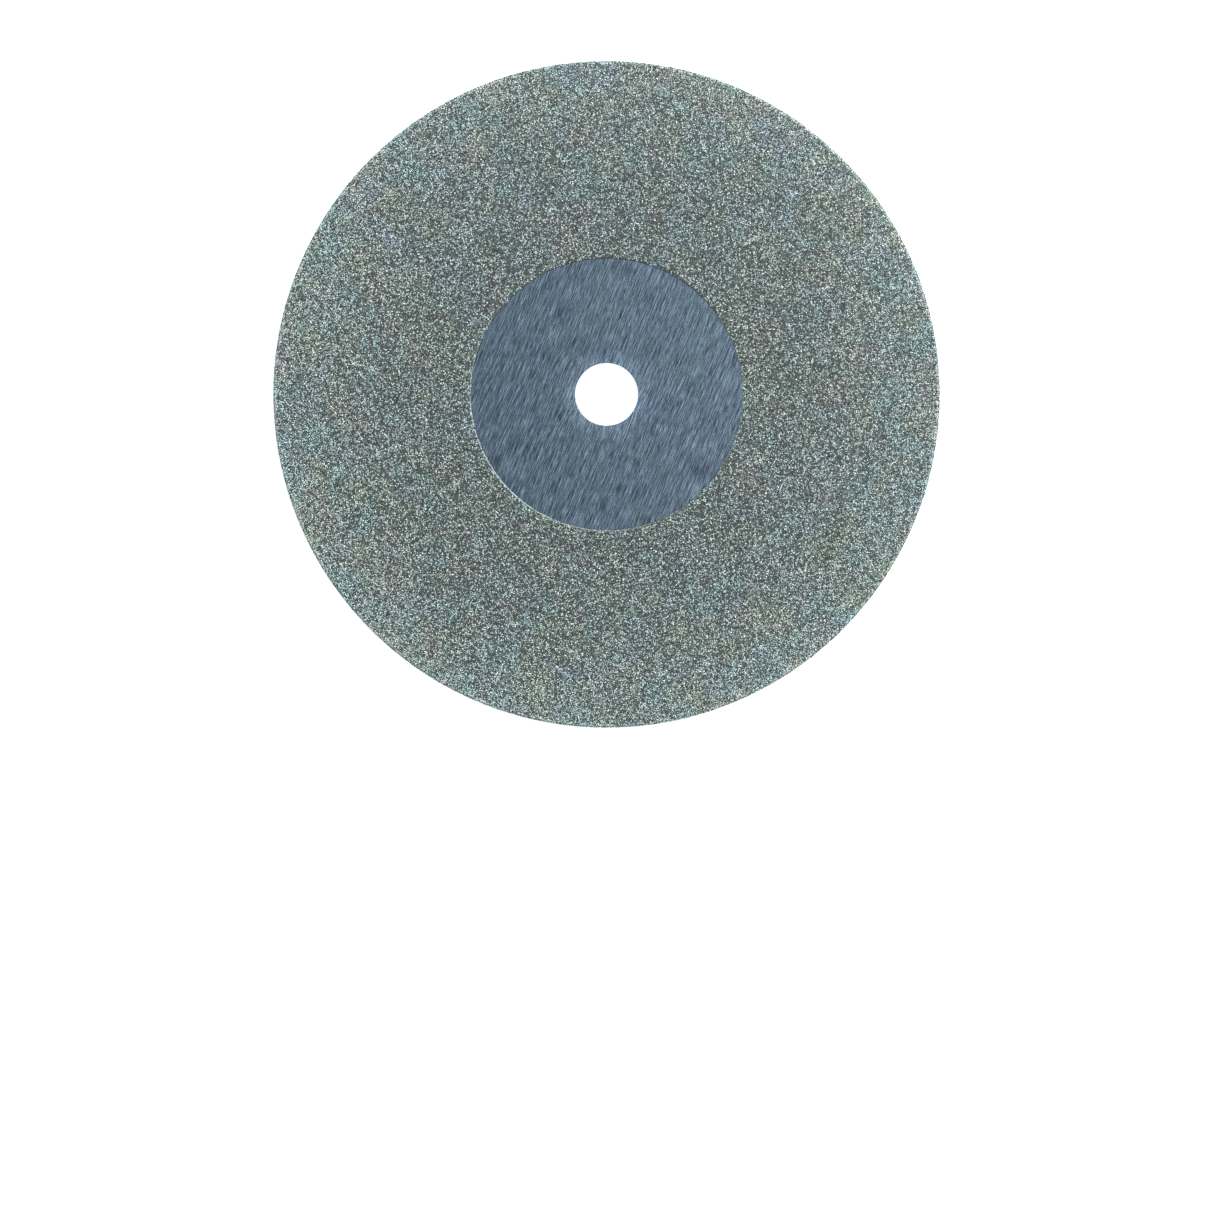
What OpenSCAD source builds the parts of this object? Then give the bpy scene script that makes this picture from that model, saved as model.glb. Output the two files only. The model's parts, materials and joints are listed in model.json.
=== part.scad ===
// Diamond grinding wheel. A thin steel blank has a layer of nickel plated over both faces and
// over the rim, and the nickel holds one layer of diamond crystals that stand out of it.
// A round hub in the middle of each face is masked off and stays bare steel, for the flanges.
// The wheel lies on its back coat: the origin is the centre of that face, +Z is the wheel's axis.

/* [Wheel] */
// Diameter over the crystals on the rim
wheel_d = 101.6; // [60:0.1:200]
// Diameter of the bare steel hub
hub_d = 41.3; // [18:0.1:56]
// Diameter of the arbor bore
bore_d = 9.525; // [3:0.005:16]

/* [Steel blank] */
// Thickness of the steel at the hub
blank_t = 1.2; // [0.8:0.05:4]
// Depth blasted off the steel on each face so that the nickel keys to it
key_depth = 0.03; // [0.01:0.01:0.04]
// Width and height of the chamfer round the blank's rim
rim_chamfer = 0.25; // [0.05:0.05:0.3]
// Width and height of the chamfer at each end of the bore
bore_chamfer = 0.15; // [0.05:0.05:0.3]

/* [Coat] */
// Thickness of the nickel bond
bond_t = 0.14; // [0.05:0.01:0.3]
// Height of the crystals above the nickel
grit_h = 0.09; // [0.04:0.01:0.25]
// Width of the bare nickel lip that slopes down to the hub
lip_w = 0.15; // [0.05:0.05:0.4]

/* [Hidden] */
coat_t = bond_t + grit_h;
face_z = blank_t / 2;            // the hub's face above the wheel's middle plane
seat_z = face_z - key_depth;     // the blasted steel that the nickel sits on
bond_z = seat_z + bond_t;        // the nickel's face
grit_z = bond_z + grit_h;        // the tips of the crystals
wheel_t = 2 * grit_z;

blank_r = wheel_d / 2 - coat_t;
flat_r = blank_r - rim_chamfer;  // where the flat faces end and the rim begins
hub_r = hub_d / 2;
grit_r = hub_r + lip_w;          // inner edge of the crystals
bore_r = bore_d / 2;

chamfer_angle = 45;
miter = tan(chamfer_angle / 2);  // how far a layer's corner moves along the face, for its depth
turn_fn = 240;                   // facets round the wheel

steel = [0.37, 0.44, 0.50];
nickel = [0.72, 0.73, 0.70];
grit = [0.47, 0.52, 0.51];

// Everything is drawn about the wheel's middle plane, and this lays it on the back coat
module laid_flat() translate([0, 0, wheel_t / 2]) children();

module on_back() mirror([0, 0, 1]) children();

// A ring or disc from one half of its section, which is given above the middle plane
module turned(upper_half) rotate_extrude($fn = turn_fn)
    polygon(concat(upper_half, mirrored(upper_half)));

// The same points below the middle plane, in the opposite order, so that they close the outline
function mirrored(points) = [for (i = [len(points) - 1 : -1 : 0]) [points[i][0], -points[i][1]]];

function reversed(points) = [for (i = [len(points) - 1 : -1 : 0]) points[i]];

// The chamfered corner of the blank, as it is where a coat of this depth covers it
function rim_corner(coat) = [
    [flat_r + coat * miter, seat_z + coat],
    [blank_r + coat, seat_z - rim_chamfer + coat * miter]
];

// The hub's face, the step down to the blasted seat, and the rim
function blank_half() = concat(
    [[bore_r, face_z - bore_chamfer], [bore_r + bore_chamfer, face_z], [hub_r, face_z], [hub_r, seat_z]],
    rim_corner(0)
);

// One layer wrapped round the rim, between two depths of coat
module rim_layer(inner, outer) rotate_extrude($fn = turn_fn) {
    outside = concat([[flat_r, seat_z + outer]], rim_corner(outer));
    inside = concat([[flat_r, seat_z + inner]], inner > 0 ? rim_corner(inner) : [rim_corner(0)[1]]);
    polygon(concat(outside, mirrored(outside), reversed(mirrored(inside)), reversed(inside)));
}

// The nickel on one face, with its lip sloping down to the hub
module face_bond() rotate_extrude($fn = turn_fn)
    polygon([[hub_r, seat_z], [flat_r, seat_z], [flat_r, bond_z], [grit_r, bond_z], [hub_r, face_z]]);

// The layer that the crystals fill on one face
module face_grit() rotate_extrude($fn = turn_fn)
    translate([grit_r, bond_z]) square([flat_r - grit_r, grit_h]);

module steel_blank() color(steel) laid_flat() turned(blank_half());

module front_nickel_bond() color(nickel) laid_flat() face_bond();

module back_nickel_bond() color(nickel) laid_flat() on_back() face_bond();

module rim_nickel_bond() color(nickel) laid_flat() rim_layer(0, bond_t);

module front_diamond_grit() color(grit) laid_flat() face_grit();

module back_diamond_grit() color(grit) laid_flat() on_back() face_grit();

module rim_diamond_grit() color(grit) laid_flat() rim_layer(bond_t, coat_t);

steel_blank();
front_nickel_bond();
rim_nickel_bond();
back_nickel_bond();
front_diamond_grit();
rim_diamond_grit();
back_diamond_grit();
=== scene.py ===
import json
import math
import bpy
import numpy as np
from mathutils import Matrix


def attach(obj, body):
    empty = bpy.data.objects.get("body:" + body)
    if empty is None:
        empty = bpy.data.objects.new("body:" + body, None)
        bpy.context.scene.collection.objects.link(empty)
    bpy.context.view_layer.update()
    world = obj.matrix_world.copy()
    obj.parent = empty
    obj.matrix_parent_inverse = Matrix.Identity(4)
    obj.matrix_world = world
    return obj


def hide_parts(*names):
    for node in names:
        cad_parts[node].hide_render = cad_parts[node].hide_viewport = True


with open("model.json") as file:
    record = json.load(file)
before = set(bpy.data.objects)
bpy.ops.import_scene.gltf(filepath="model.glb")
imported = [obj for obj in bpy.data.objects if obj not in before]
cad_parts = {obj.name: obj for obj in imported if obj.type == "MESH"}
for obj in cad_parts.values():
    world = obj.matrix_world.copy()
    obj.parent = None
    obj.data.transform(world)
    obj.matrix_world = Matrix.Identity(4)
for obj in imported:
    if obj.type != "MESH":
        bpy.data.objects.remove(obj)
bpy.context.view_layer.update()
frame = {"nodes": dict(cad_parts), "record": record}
mm = 0.001


# Inner radius, outer radius, bottom and top of one of the frame's turned nodes
def ringOf(cadNode):
    mesh = frame["nodes"][cadNode].data
    flat = np.zeros(len(mesh.vertices) * 3)
    mesh.vertices.foreach_get("co", flat)
    points = flat.reshape(-1, 3)
    radii = np.hypot(points[:, 0], points[:, 1])
    return radii.min(), radii.max(), points[:, 2].min(), points[:, 2].max()


# Every size below is worked out from the frame
boreRadius, blankRadius, blankBottom, blankTop = ringOf("steel_blank")
hubRadius, flatRadius, seatHeight, bondTop = ringOf("front_nickel_bond")
wheelRadius, wheelBottom, wheelTop = ringOf("rim_diamond_grit")[1:]
gritRadius = ringOf("front_diamond_grit")[0]
bondRadius = ringOf("rim_nickel_bond")[1]
middle = (wheelBottom + wheelTop) / 2
gritDepth = wheelTop - bondTop
rimChamfer = blankRadius - flatRadius
chamferAngle = math.radians(45)     # between a flat face and the rim's chamfer
arborBore = next(mount for mount in frame["record"]["mounts"] if mount["name"] == "arbor_bore")
boreChamfer = (blankTop - blankBottom - arborBore["dims"]["length_mm"] * mm) / 2
wheelSize = (2 * wheelRadius / mm, (wheelTop - wheelBottom) / mm)
print("wheel %.2f mm across, %.2f mm thick" % wheelSize)


# A mesh from whole arrays: points (n, 3), and faces (m, sides) of indices into them
def meshFrom(name, points, faces, sides):
    mesh = bpy.data.meshes.new(name)
    mesh.vertices.add(len(points))
    mesh.vertices.foreach_set("co", points.astype(np.float32).ravel())
    mesh.loops.add(faces.size)
    mesh.loops.foreach_set("vertex_index", faces.astype(np.int32).ravel())
    mesh.polygons.add(len(faces))
    mesh.polygons.foreach_set("loop_start", np.arange(0, faces.size, sides, dtype=np.int32))
    mesh.update(calc_edges=True)
    return mesh


# Shows a mesh in place of a CAD node, riding on the wheel's one body
def addPiece(name, mesh, material, cadNode):
    piece = bpy.data.objects.new(name, mesh)
    bpy.context.scene.collection.objects.link(piece)
    mesh.materials.append(material)
    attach(piece, "root")
    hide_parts(cadNode)
    return piece


# A closed section carried round the axis: x = r cos t, y = r sin t, z = h. The radii r and the
# heights h are (points, turns) arrays, and the section runs anticlockwise in their plane.
def latheMesh(name, radii, heights, sharpAngle=math.radians(30)):
    count, turns = radii.shape
    angles = np.linspace(0, 2 * np.pi, turns, endpoint=False)
    points = np.stack([radii * np.cos(angles), radii * np.sin(angles), heights], axis=-1).reshape(-1, 3)
    i, j = np.meshgrid(np.arange(count), np.arange(turns), indexing="ij")
    iNext, jNext = (i + 1) % count, (j + 1) % turns
    faces = np.stack([i * turns + j, i * turns + jNext, iNext * turns + jNext, iNext * turns + j], axis=-1)
    mesh = meshFrom(name, points, faces.reshape(-1, 4), 4)
    mesh.shade_smooth()
    mesh.set_sharp_from_angle(angle=sharpAngle)
    return mesh


# The same section at every turn, as two arrays
def sectionArrays(section, turns):
    r, h = np.array(section).T
    return np.repeat(r[:, None], turns, 1), np.repeat(h[:, None], turns, 1)


def newMaterial(name):
    material = bpy.data.materials.new(name)
    material.use_nodes = True
    return material, material.node_tree, material.node_tree.nodes["Principled BSDF"]


# A shader node. inputs maps its sockets, by name or by number, to another socket or to a value.
def addNode(tree, kind, inputs, **settings):
    made = tree.nodes.new(kind)
    for setting, value in settings.items():
        setattr(made, setting, value)
    for socket, value in inputs.items():
        if isinstance(value, bpy.types.NodeSocket):
            tree.links.new(value, made.inputs[socket])
        else:
            made.inputs[socket].default_value = value
    return made


def objectPlace(tree):
    return addNode(tree, "ShaderNodeTexCoord", {}).outputs["Object"]


# Cloudy noise, with features of about this size
def noise(tree, place, size):
    return addNode(tree, "ShaderNodeTexNoise", {"Vector": place, "Scale": 1 / size}).outputs["Fac"]


# A colour for each value, from (value, colour) stops
def colourRamp(tree, value, stops):
    made = addNode(tree, "ShaderNodeValToRGB", {"Fac": value})
    elements = made.color_ramp.elements
    while len(elements) < len(stops):
        elements.new(0.5)
    for element, (position, colour) in zip(elements, stops):
        element.position = position
        element.color = (*colour, 1)
    return made.outputs["Color"]


def mixValues(tree, share, first, second):
    return addNode(tree, "ShaderNodeMix", {"Factor": share, "A": first, "B": second}).outputs[0]


def multiplyColours(tree, colour, tint):
    return addNode(tree, "ShaderNodeMix", {0: 1.0, 6: colour, 7: tint}, data_type="RGBA",
                   blend_type="MULTIPLY").outputs[2]


def scaleColour(tree, colour, factor):
    return addNode(tree, "ShaderNodeVectorMath", {0: colour, "Scale": factor},
                   operation="SCALE").outputs[0]


# Goes evenly from the first result to the second as the value goes from low to high
def rangeOf(tree, value, low, high, results):
    return addNode(tree, "ShaderNodeMapRange", {"Value": value, "From Min": low, "From Max": high,
                                                "To Min": results[0], "To Max": results[1]}).outputs[0]


# How far a point is from the wheel's axis
def distanceOut(tree, place):
    flat = addNode(tree, "ShaderNodeVectorMath", {0: place, 1: (1, 1, 0)}, operation="MULTIPLY")
    return addNode(tree, "ShaderNodeVectorMath", {0: flat.outputs[0]}, operation="LENGTH").outputs["Value"]


def addBump(tree, shader, height, depth):
    bump = addNode(tree, "ShaderNodeBump", {"Strength": 1.0, "Distance": depth, "Height": height})
    tree.links.new(bump.outputs[0], shader.inputs["Normal"])


noiseSpan = (0.3, 0.7)              # most of a noise's values lie between these

steelLook = {
    # the belt's scratches: degrees from X, length and width
    "coarse": (68, 3.5 * mm, 0.175 * mm),
    "fine": (74, 1.15 * mm, 0.09 * mm),
    "fine share": 0.45,
    "speck": 0.14 * mm,
    "speck share": 0.16,
    "tones": [(0.36, (0.042, 0.066, 0.099)), (0.5, (0.168, 0.240, 0.322)), (0.66, (0.40, 0.565, 0.72))],
    "stain": 5.5 * mm,
    "stains": [(0.35, (0.995, 1.0, 0.945)), (0.65, (0.985, 0.97, 0.99))],
    "roughness": (0.30, 0.46),
    "bump": 0.012 * mm,
    "painted sheen": 0.10,            # painted sheen: one side of the hub is painted this much lighter, the other darker, for how the light falls across it
    "paintedGlare": 1.5,                 # painted glare: the steel is painted this much lighter round the bore
    "polish width": 2.6 * mm,
}


# Belt-ground steel: short straight scratches, all one way, over faint large stains, with a painted sheen
# lighter on one side and painted glare round the bore
def groundSteel():
    look = steelLook
    material, tree, shader = newMaterial("ground steel")
    place = objectPlace(tree)

    # noise drawn out along the grinding
    def scratches(angle, length, width):
        inputs = {"Vector": place, "Rotation": (0, 0, math.radians(angle)), "Scale": (length, width, 1)}
        drawnOut = addNode(tree, "ShaderNodeMapping", inputs, vector_type="TEXTURE").outputs[0]
        return noise(tree, drawnOut, 1.0)

    ground = mixValues(tree, look["fine share"], scratches(*look["coarse"]), scratches(*look["fine"]))
    surface = mixValues(tree, look["speck share"], ground, noise(tree, place, look["speck"]))
    stains = colourRamp(tree, noise(tree, place, look["stain"]), look["stains"])
    colour = multiplyColours(tree, colourRamp(tree, surface, look["tones"]), stains)
    # painted sheen: the hub is painted lighter on one side and darker on the other
    across = addNode(tree, "ShaderNodeSeparateXYZ", {"Vector": place}).outputs["X"]
    side = rangeOf(tree, across, -hubRadius, hubRadius, (1 - look["painted sheen"], 1 + look["painted sheen"]))
    # painted glare: the steel is painted lighter near the bore
    paintedGlare = rangeOf(tree, distanceOut(tree, place), boreRadius, boreRadius + look["polish width"],
                     (look["paintedGlare"], 1.0))
    paintedSheenAndGlare = addNode(tree, "ShaderNodeMath", {0: side, 1: paintedGlare}, operation="MULTIPLY").outputs[0]
    tree.links.new(scaleColour(tree, colour, paintedSheenAndGlare), shader.inputs["Base Color"])
    tree.links.new(rangeOf(tree, surface, *noiseSpan, look["roughness"]), shader.inputs["Roughness"])
    addBump(tree, shader, surface, look["bump"])
    shader.inputs["Metallic"].default_value = 1.0
    return material


nickelLook = {
    "nodule": 0.09 * mm,           # size of the plating's nodules
    "tones": [(0.35, (0.030, 0.042, 0.042)), (0.65, (0.17, 0.20, 0.195))],
    "roughness": (0.5, 0.32),
    "bump": 0.03 * mm,
    "lip shine": 2.4,              # painted highlight: the bare lip round the hub is painted this much lighter
    "lip shine fades": 0.1 * mm,   # in this distance under the crystals
}


# Electroplated nickel, dull and finely nodular, with a painted highlight on the bare lip round the hub
def platedNickel():
    look = nickelLook
    material, tree, shader = newMaterial("plated nickel")
    place = objectPlace(tree)
    nodules = noise(tree, place, look["nodule"])
    # painted highlight: the bare lip round the hub is painted lighter, fading under the crystals
    paintedHighlight = rangeOf(tree, distanceOut(tree, place), gritRadius, gritRadius + look["lip shine fades"],
                    (look["lip shine"], 1.0))
    colour = scaleColour(tree, colourRamp(tree, nodules, look["tones"]), paintedHighlight)
    tree.links.new(colour, shader.inputs["Base Color"])
    tree.links.new(rangeOf(tree, nodules, *noiseSpan, look["roughness"]), shader.inputs["Roughness"])
    addBump(tree, shader, nodules, look["bump"])
    shader.inputs["Metallic"].default_value = 1.0
    return material


gritLook = {
    # from the darkest crystals to the lightest
    "tones": [(0.0, (0.003, 0.005, 0.005)), (0.26, (0.045, 0.062, 0.062)),
              (0.46, (0.40, 0.535, 0.525)), (0.75, (0.58, 0.715, 0.71)), (1.0, (0.635, 0.76, 0.765))],
    "patch": 5 * mm,               # size of the soft patches of tint
    "patches": [(0.38, (1.05, 0.98, 0.875)), (0.62, (0.865, 0.98, 1.025))],
    "mottle": 4 * mm,              # size of the fainter patches over them
    "mottles": [(0.38, (0.94, 1.01, 0.96)), (0.62, (1.06, 0.99, 1.05))],
    "roughness": 0.50,
    "metallic": 0.25,              # the nickel seen through each crystal
    "ior": 2.42,                   # diamond
}


# Grey-green diamond: one tone for each crystal, tinted by soft patches
def diamondGrit():
    look = gritLook
    material, tree, shader = newMaterial("diamond grit")
    place = objectPlace(tree)
    tone = addNode(tree, "ShaderNodeAttribute", {}, attribute_name="tone").outputs["Fac"]
    patches = colourRamp(tree, noise(tree, place, look["patch"]), look["patches"])
    mottles = colourRamp(tree, noise(tree, place, look["mottle"]), look["mottles"])
    tint = multiplyColours(tree, patches, mottles)
    colour = multiplyColours(tree, colourRamp(tree, tone, look["tones"]), tint)
    tree.links.new(colour, shader.inputs["Base Color"])
    shader.inputs["Roughness"].default_value = look["roughness"]
    shader.inputs["Metallic"].default_value = look["metallic"]
    shader.inputs["IOR"].default_value = look["ior"]
    return material


steelMaterial, nickelMaterial, gritMaterial = groundSteel(), platedNickel(), diamondGrit()
print("steel, nickel and diamond materials made")

blank = {
    "turns": 720,                  # facets round the wheel
}


# The blank's section, carried round the axis: bore wall and its chamfers, the hub's faces, the
# blasted seats beyond the hub, and the chamfered rim. The upper half mirrors the lower.
def makeBlank():
    lowSeat = 2 * middle - seatHeight
    low = [(boreRadius, blankBottom + boreChamfer), (boreRadius + boreChamfer, blankBottom),
           (hubRadius, blankBottom), (hubRadius, lowSeat),
           (flatRadius, lowSeat), (blankRadius, lowSeat + rimChamfer)]
    high = [(r, 2 * middle - h) for r, h in reversed(low)]
    radii, heights = sectionArrays(low + high, blank["turns"])
    name = "steel_blank_ground"
    addPiece(name, latheMesh(name, radii, heights), steelMaterial, "steel_blank")


plating = {
    "turns": 1440,                 # facets round the wheel
    "lip points": 5,
    "lip round": 1.75,             # 1 makes the lip a straight slope, more rounds its shoulder
    "lip wave": 0.04 * mm,         # how far the lip wanders in and out
    "lip reach": 0.4 * mm,         # it wanders no further than this under the crystals
    "waves": range(20, 260, 7),    # how many of each wave go once round the wheel
    "seed": 11,
}


# A closed wavy line round the wheel: a sum of sines of the turn, the finer ones weaker
def wander(rng):
    angles = np.linspace(0, 2 * np.pi, plating["turns"], endpoint=False)
    orders = np.array(plating["waves"])
    phases = rng.uniform(0, 2 * np.pi, len(orders))
    line = (np.sin(orders[:, None] * angles + phases[:, None]) / np.sqrt(orders[:, None])).sum(0)
    return line / np.abs(line).max() * plating["lip wave"]


# The nickel of one face: its section, carried round the axis, is flat from the rim in to the
# crystals' edge and then rounds down to the hub. For a share s of the way in, the lip drops by
# s to the power of its roundness, and the whole lip wanders in and out by a wavy line.
def makeFaceBond(side, flip):
    rng = np.random.default_rng(plating["seed"] + flip)
    share = np.linspace(0, 1, plating["lip points"])
    lip = np.column_stack([gritRadius + (hubRadius - gritRadius) * share,
                           bondTop + (blankTop - bondTop) * share ** plating["lip round"]])
    base = [(hubRadius, seatHeight), (flatRadius, seatHeight), (flatRadius, bondTop),
            (gritRadius + plating["lip reach"], bondTop)]
    radii, heights = sectionArrays(np.concatenate([base, lip]), plating["turns"])
    radii[len(base):] += wander(rng)
    radii = np.maximum(radii, hubRadius)            # the nickel never runs over the bare hub
    if flip:
        radii, heights = radii[::-1], 2 * middle - heights[::-1]
    name = side + "_nickel_plating"
    addPiece(name, latheMesh(name, radii, heights), nickelMaterial, side + "_nickel_bond")


makeBlank()
makeFaceBond("front", False)
makeFaceBond("back", True)
for slot in frame["nodes"]["rim_nickel_bond"].material_slots:
    slot.material = nickelMaterial
print("steel blank and nickel bond made")

grit = {
    "spacing": 0.202 * mm,         # least distance between two crystals
    "radius": (0.14 * mm, 0.225 * mm),    # about how far a crystal's corners are from its middle
    "squat": 0.85,                 # height, as a share of a regular octahedron's
    "uneven": 0.3,                 # how far a crystal's corners leave the octahedron
    "tilt": 0.25,                  # 0 lays every crystal flat on a facet, 1 turns it any way
    "standing": (0.8, 1.0),        # heights, as shares of the grit layer's depth
    "edge scatter": 0.1 * mm,      # how unevenly the coat ends at the hub
    "rim lift": 0.23,              # how much lighter the crystals are at the rim than at the hub
    "rounds": 14,                  # tries at filling the gaps
    "sectors": 6,                  # pieces that each face's coat is split into
    "seed": 3,
}

# An octahedron lying on a facet, of radius 1: three corners above and three below, by turns,
# a sixth of a turn apart, and eight facets between them
sixths = np.arange(6) * np.pi / 3
crystalCorners = np.column_stack([np.sqrt(2 / 3) * np.cos(sixths), np.sqrt(2 / 3) * np.sin(sixths),
                                  np.sqrt(1 / 3) * grit["squat"] * np.tile([1, -1], 3)])
crystalFacets = np.array([(0, 2, 4), (5, 3, 1), (0, 1, 2), (2, 3, 4), (4, 5, 0),
                          (1, 0, 5), (3, 2, 1), (5, 4, 3)])


# Random points in a rectangle, none nearer than the spacing. Each cell of a grid holds at most
# one point; in each round every empty cell tries a new one, and the lowest draw wins a quarrel.
def scatter(width, depth, rng, wraps=False):
    spacing = grit["spacing"]
    across = math.ceil(width / (spacing / math.sqrt(2)))
    along = math.ceil(depth / (spacing / math.sqrt(2)))
    cell = np.array([width / across, depth / along])
    corners = np.stack(np.meshgrid(np.arange(across), np.arange(along), indexing="ij"), axis=-1)
    spots = np.zeros((across, along, 2))
    taken = np.zeros((across, along), bool)
    reach = range(-2, 3)            # a point further off than two cells can't be too near
    neighbours = [(a, b) for a in reach for b in reach if (a, b) != (0, 0)]
    for _ in range(grit["rounds"]):
        trials = (corners + rng.random(corners.shape)) * cell
        spots = np.where(taken[..., None], spots, trials)
        draw = np.where(taken, -1.0, rng.random(taken.shape))
        lost = np.zeros_like(taken)
        for neighbour in neighbours:
            gap = np.roll(spots, neighbour, (0, 1)) - spots
            if wraps:
                gap[..., 0] = (gap[..., 0] + width / 2) % width - width / 2
            near = (gap ** 2).sum(-1) < spacing ** 2
            lost |= near & (np.roll(draw, neighbour, (0, 1)) < draw)
        taken |= ~lost
    return spots[taken]


# Rotation matrices from random unit quaternions, whose tipping parts are made smaller
def randomTurns(count, rng):
    q = rng.normal(size=(count, 4)) * (1, grit["tilt"], grit["tilt"], 1)
    w, x, y, z = (q / np.linalg.norm(q, axis=1, keepdims=True)).T
    rows = [1 - 2 * (y * y + z * z), 2 * (x * y - z * w), 2 * (x * z + y * w),
            2 * (x * y + z * w), 1 - 2 * (x * x + z * z), 2 * (y * z - x * w),
            2 * (x * z - y * w), 2 * (y * z + x * w), 1 - 2 * (x * x + y * y)]
    return np.stack(rows, axis=-1).reshape(-1, 3, 3)


# Uneven octahedra, tipped and turned at random, each sunk until its tip stands the drawn height
# out of the nickel. feet are points on the nickel, axes their (across, along, outward) directions.
# The box of the whole wheel trims the few that stand past it.
def crystalPiece(name, feet, axes, rng, cadNode):
    count, corners = len(feet), len(crystalCorners)
    radius = rng.uniform(*grit["radius"], (count, 1, 1))
    uneven = rng.uniform(1 - grit["uneven"], 1 + grit["uneven"], (count, corners, 1))
    shapes = (crystalCorners * uneven * radius) @ randomTurns(count, rng)
    standing = rng.uniform(*grit["standing"], count) * gritDepth
    shapes[..., 2] += (standing - shapes[..., 2].max(1))[:, None]
    points = (feet[:, None] + shapes @ axes).reshape(-1, 3)
    points[:, 2] = points[:, 2].clip(wheelBottom, wheelTop)
    points[:, :2] *= np.minimum(1, wheelRadius / np.hypot(points[:, 0], points[:, 1]))[:, None]
    facets = crystalFacets + corners * np.arange(count)[:, None, None]
    mesh = meshFrom(name, points, facets.reshape(-1, 3), 3)
    mesh.shade_flat()
    outness = (np.hypot(feet[:, 0], feet[:, 1]) - gritRadius) / (wheelRadius - gritRadius)
    tone = rng.random(count) * (1 - grit["rim lift"]) + grit["rim lift"] * outness ** 2
    tones = mesh.attributes.new("tone", "FLOAT", "POINT")
    tones.data.foreach_set("value", np.repeat(tone, corners).astype(np.float32))
    addBakeMap(mesh, count)
    addPiece(name, mesh, gritMaterial, cadNode)


# One square of the map for each crystal: all its facets share a triangle in that square's middle
def addBakeMap(mesh, count):
    side = math.ceil(math.sqrt(count))
    index = np.arange(count)
    origin = np.stack([index % side, index // side], axis=-1)[:, None, None]
    triangle = np.array([(0.2, 0.2), (0.8, 0.2), (0.5, 0.8)])
    places = np.broadcast_to((origin + triangle) / side, (count, len(crystalFacets), 3, 2))
    mesh.uv_layers.new(name="OFBake").data.foreach_set("uv", places.astype(np.float32).ravel())


# The crystals on one face, in sectors. The back is the front turned over about X.
def coatFace(side, flip):
    rng = np.random.default_rng(grit["seed"] + flip)
    spots = scatter(2 * flatRadius, 2 * flatRadius, rng) - flatRadius
    radii, angles = np.hypot(*spots.T), np.arctan2(spots[:, 1], spots[:, 0])
    edge = gritRadius + rng.uniform(-1, 1, len(radii)) * grit["edge scatter"]
    inside = (radii > edge) & (radii < flatRadius)
    sector = ((angles / (2 * np.pi) + 0.5) * grit["sectors"]).astype(int) % grit["sectors"]
    axes = np.diag([1.0, -1.0, -1.0]) if flip else np.eye(3)
    height = 2 * middle - bondTop if flip else bondTop
    for number in range(grit["sectors"]):
        chosen = spots[inside & (sector == number)]
        feet = np.column_stack([chosen, np.full(len(chosen), height)])
        crystalPiece(f"{side}_crystals_{number + 1}", feet, np.broadcast_to(axes, (len(feet), 3, 3)), rng,
                     side + "_diamond_grit")
    print(side, "crystals:", np.count_nonzero(inside))


# The crystals on the rim: a strip of points, as wide as the nickel's section is long from one
# face over both chamfers to the other, wrapped once round the wheel
def coatRim():
    rng = np.random.default_rng(grit["seed"] + 2)
    miter = (bondTop - seatHeight) * math.tan(chamferAngle / 2)
    upper = np.array([(flatRadius, bondTop), (flatRadius + miter, bondTop),
                      (bondRadius, seatHeight - rimChamfer + miter)])
    section = np.concatenate([upper, (upper * (1, -1) + (0, 2 * middle))[::-1]])
    runs = np.diff(section, axis=0)
    lengths = np.hypot(*runs.T)
    ends = np.concatenate([[0], np.cumsum(lengths)])
    strip = scatter(2 * np.pi * bondRadius, ends[-1], rng, wraps=True)
    angles, travel = strip[:, 0] / bondRadius, strip[:, 1]
    radii, heights = (np.interp(travel, ends, section[:, k]) for k in (0, 1))
    run = np.clip(np.searchsorted(ends, travel) - 1, 0, len(runs) - 1)
    down = runs[run] / lengths[run][:, None]
    cos, sin = np.cos(angles), np.sin(angles)
    feet = np.column_stack([radii * cos, radii * sin, heights])
    outward = np.column_stack([-down[:, 1] * cos, -down[:, 1] * sin, down[:, 0]])
    across = np.column_stack([-sin, cos, np.zeros_like(sin)])
    axes = np.stack([across, np.cross(outward, across), outward], axis=1)
    crystalPiece("rim_crystals", feet, axes, rng, "rim_diamond_grit")
    print("rim crystals:", len(feet))


coatFace("front", False)
coatFace("back", True)
coatRim()

studio = {
    "floor": (0.90, 0.90, 0.90),
    "floor size": 3.0,
    "floor drop": 0.005 * mm,      # keeps it clear of the crystals that rest on it
    "floor roughness": 0.9,
    "glow": 0.75,                  # the floor is a lit table
    "sky": (1.0, 1.0, 1.0),
    "sky strength": (0.15, 1.0),   # as it lights the wheel, and as it shows behind it
    # name, degrees from X, distance across the floor, height, size, watts
    "lights": [("key light", 38, 2.9, 2.6, 4.1, 236.0),
               ("fill light", 165, 2.7, 2.4, 4.1, 58.0)],
}


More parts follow.
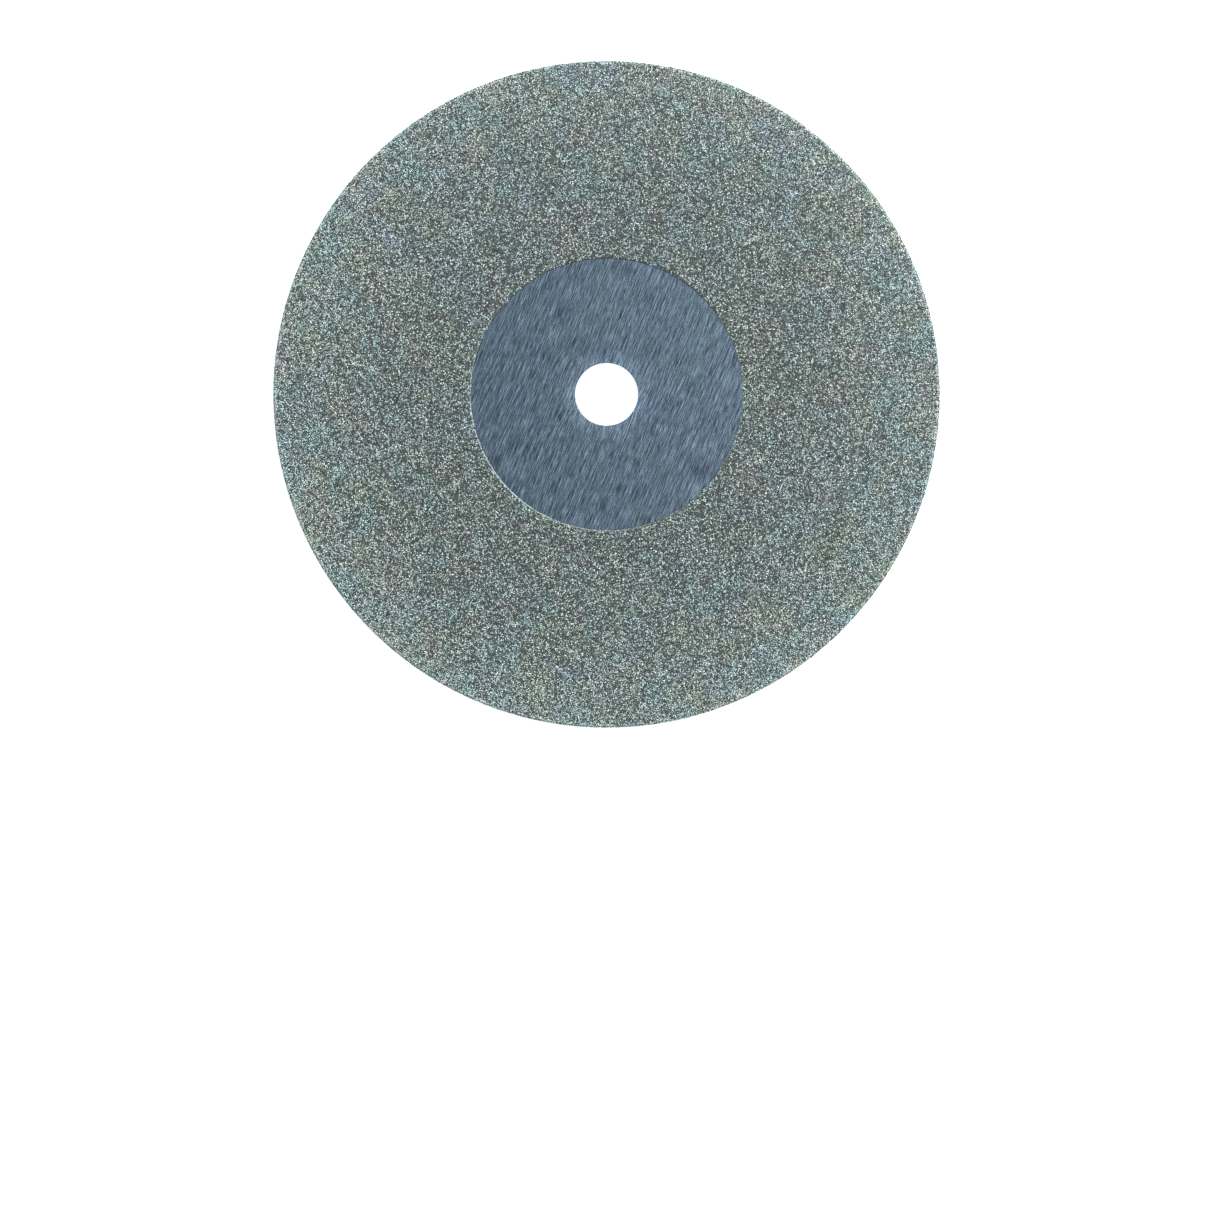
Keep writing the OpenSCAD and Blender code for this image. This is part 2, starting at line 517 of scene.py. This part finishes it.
# A plain square, facing up, just under the wheel
def makeFloor():
    half = studio["floor size"] / 2
    height = wheelBottom - studio["floor drop"]
    corners = np.array([(-half, -half, height), (half, -half, height), (half, half, height),
                        (-half, half, height)])
    floor = bpy.data.objects.new("floor", meshFrom("floor", corners, np.array([[0, 1, 2, 3]]), 4))
    material, tree, shader = newMaterial("pale floor")
    shader.inputs["Base Color"].default_value = (*studio["floor"], 1)
    shader.inputs["Roughness"].default_value = studio["floor roughness"]
    shader.inputs["Emission Color"].default_value = (*studio["sky"], 1)
    shader.inputs["Emission Strength"].default_value = studio["glow"]
    floor.data.materials.append(material)
    bpy.context.scene.collection.objects.link(floor)


# A sky that lights the wheel dimly but shows white behind it
def makeSky():
    world = bpy.data.worlds.new("studio")
    world.use_nodes = True
    tree = world.node_tree
    seen = addNode(tree, "ShaderNodeLightPath", {}).outputs["Is Camera Ray"]
    background = tree.nodes["Background"]
    background.inputs["Color"].default_value = (*studio["sky"], 1)
    tree.links.new(rangeOf(tree, seen, 0.0, 1.0, studio["sky strength"]), background.inputs["Strength"])
    bpy.context.scene.world = world


# A square light that faces the wheel
def addLight(name, bearing, away, height, size, watts):
    light = bpy.data.lights.new(name, "AREA")
    light.size = size
    light.energy = watts
    lamp = bpy.data.objects.new(name, light)
    angle = math.radians(bearing)
    lamp.location = (away * math.cos(angle), away * math.sin(angle), height)
    lamp.rotation_mode = "QUATERNION"
    lamp.rotation_quaternion = (-lamp.location).to_track_quat("-Z", "Y")
    bpy.context.scene.collection.objects.link(lamp)


shot = {
    "wheel share": 0.5501,         # the wheel's share of the view's width
    "wheel rise": 0.1754,          # how far above the view's middle it is, as such a share
    "wheel aside": -0.0003,        # how far to the right of the middle, as such a share
    "distance": 0.85,              # from the camera to the front face
    "sensor": 36,                  # in millimetres
    "nearest": 0.01,               # nothing nearer to the camera than this is drawn
}


# Straight down on the front face, with the wheel above the view's middle
def makeCamera():
    width = 2 * wheelRadius / shot["wheel share"]       # of the view, at the front face
    camera = bpy.data.cameras.new("camera")
    camera.sensor_width = shot["sensor"]
    camera.lens = shot["sensor"] * shot["distance"] / width
    camera.clip_start = shot["nearest"]
    holder = bpy.data.objects.new("camera", camera)
    height = wheelTop + shot["distance"]
    holder.location = (-shot["wheel aside"] * width, -shot["wheel rise"] * width, height)
    bpy.context.scene.collection.objects.link(holder)
    bpy.context.scene.camera = holder


makeFloor()
makeSky()
for entry in studio["lights"]:
    addLight(*entry)
makeCamera()
bpy.context.scene.view_settings.view_transform = "Standard"
bpy.context.scene.cycles.use_denoising = False      # it would smear the crystals
print("studio set")
